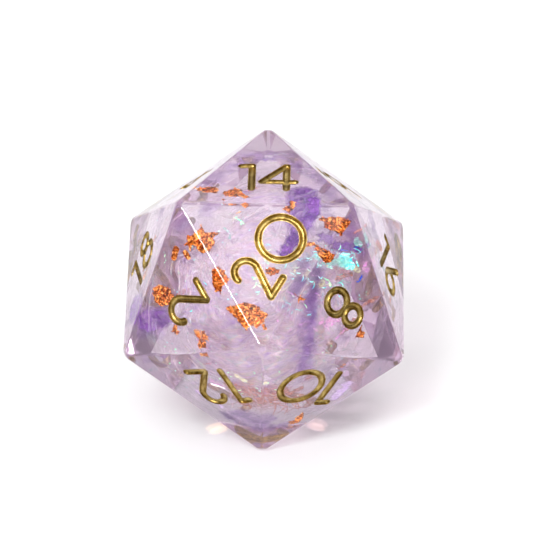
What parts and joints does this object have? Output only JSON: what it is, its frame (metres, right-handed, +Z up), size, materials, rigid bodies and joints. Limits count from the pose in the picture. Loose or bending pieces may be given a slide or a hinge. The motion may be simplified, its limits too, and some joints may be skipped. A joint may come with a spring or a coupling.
{
  "type": "polyhedral die",
  "caption": "Icosahedral gaming die in clear lilac resin with engraved gold numerals, copper foil and iridescent film inside.",
  "frame": {"origin": "on the ground under the centre of the die, at the middle of the face numbered 7, which it rests on", "axes": "+Z up, away from the resting face; the 20 face leans up towards -Y; +X is level along the edge between the 20 and 14 faces"},
  "size_m": [0.0214, 0.0248, 0.02],
  "materials": {
    "clear_resin": "clear lilac casting resin, polished",
    "gold_paint": "metallic gold paint in the engraved numerals",
    "copper_foil": "crumpled copper leaf",
    "iridescent_film": "iridescent film that turns from cyan to pink",
    "violet_film": "translucent violet film"
  },
  "bodies": {
    "root": {"copper_flake_bar": "copper_foil", "copper_flake_boot": "copper_foil", "copper_flake_branch": "copper_foil", "copper_flake_chip": "copper_foil", "copper_flake_crumb": "copper_foil", "copper_flake_curl": "copper_foil", "copper_flake_dart": "copper_foil", "copper_flake_half_moon": "copper_foil", "copper_flake_hook": "copper_foil", "copper_flake_leaf": "copper_foil", "copper_flake_oval": "copper_foil", "copper_flake_patch": "copper_foil", "copper_flake_spike": "copper_foil", "copper_flake_star": "copper_foil", "copper_flake_wing": "copper_foil", "film_shard_bright": "iridescent_film", "film_shard_low": "iridescent_film", "film_shard_pink": "iridescent_film", "numeral_10_tens": "gold_paint", "numeral_10_units": "gold_paint", "numeral_11_tens": "gold_paint", "numeral_11_units": "gold_paint", "numeral_12_tens": "gold_paint", "numeral_12_units": "gold_paint", "numeral_13_tens": "gold_paint", "numeral_13_units": "gold_paint", "numeral_14_tens": "gold_paint", "numeral_14_units": "gold_paint", "numeral_15_tens": "gold_paint", "numeral_15_units": "gold_paint", "numeral_16_tens": "gold_paint", "numeral_16_units": "gold_paint", "numeral_17_tens": "gold_paint", "numeral_17_units": "gold_paint", "numeral_18_tens": "gold_paint", "numeral_18_units": "gold_paint", "numeral_19_tens": "gold_paint", "numeral_19_units": "gold_paint", "numeral_1_paint": "gold_paint", "numeral_20_tens": "gold_paint", "numeral_20_units": "gold_paint", "numeral_2_paint": "gold_paint", "numeral_3_paint": "gold_paint", "numeral_4_paint": "gold_paint", "numeral_5_paint": "gold_paint", "numeral_6_paint": "gold_paint", "numeral_6_underline": "gold_paint", "numeral_7_paint": "gold_paint", "numeral_8_paint": "gold_paint", "numeral_9_paint": "gold_paint", "numeral_9_underline": "gold_paint", "resin_pour_1": "clear_resin", "resin_pour_2": "clear_resin", "resin_pour_3": "clear_resin", "resin_pour_4": "clear_resin", "resin_pour_5": "clear_resin", "violet_wisp_high": "violet_film", "violet_wisp_left": "violet_film", "violet_wisp_low": "violet_film", "violet_wisp_tall": "violet_film"}
  },
  "joints": []
}
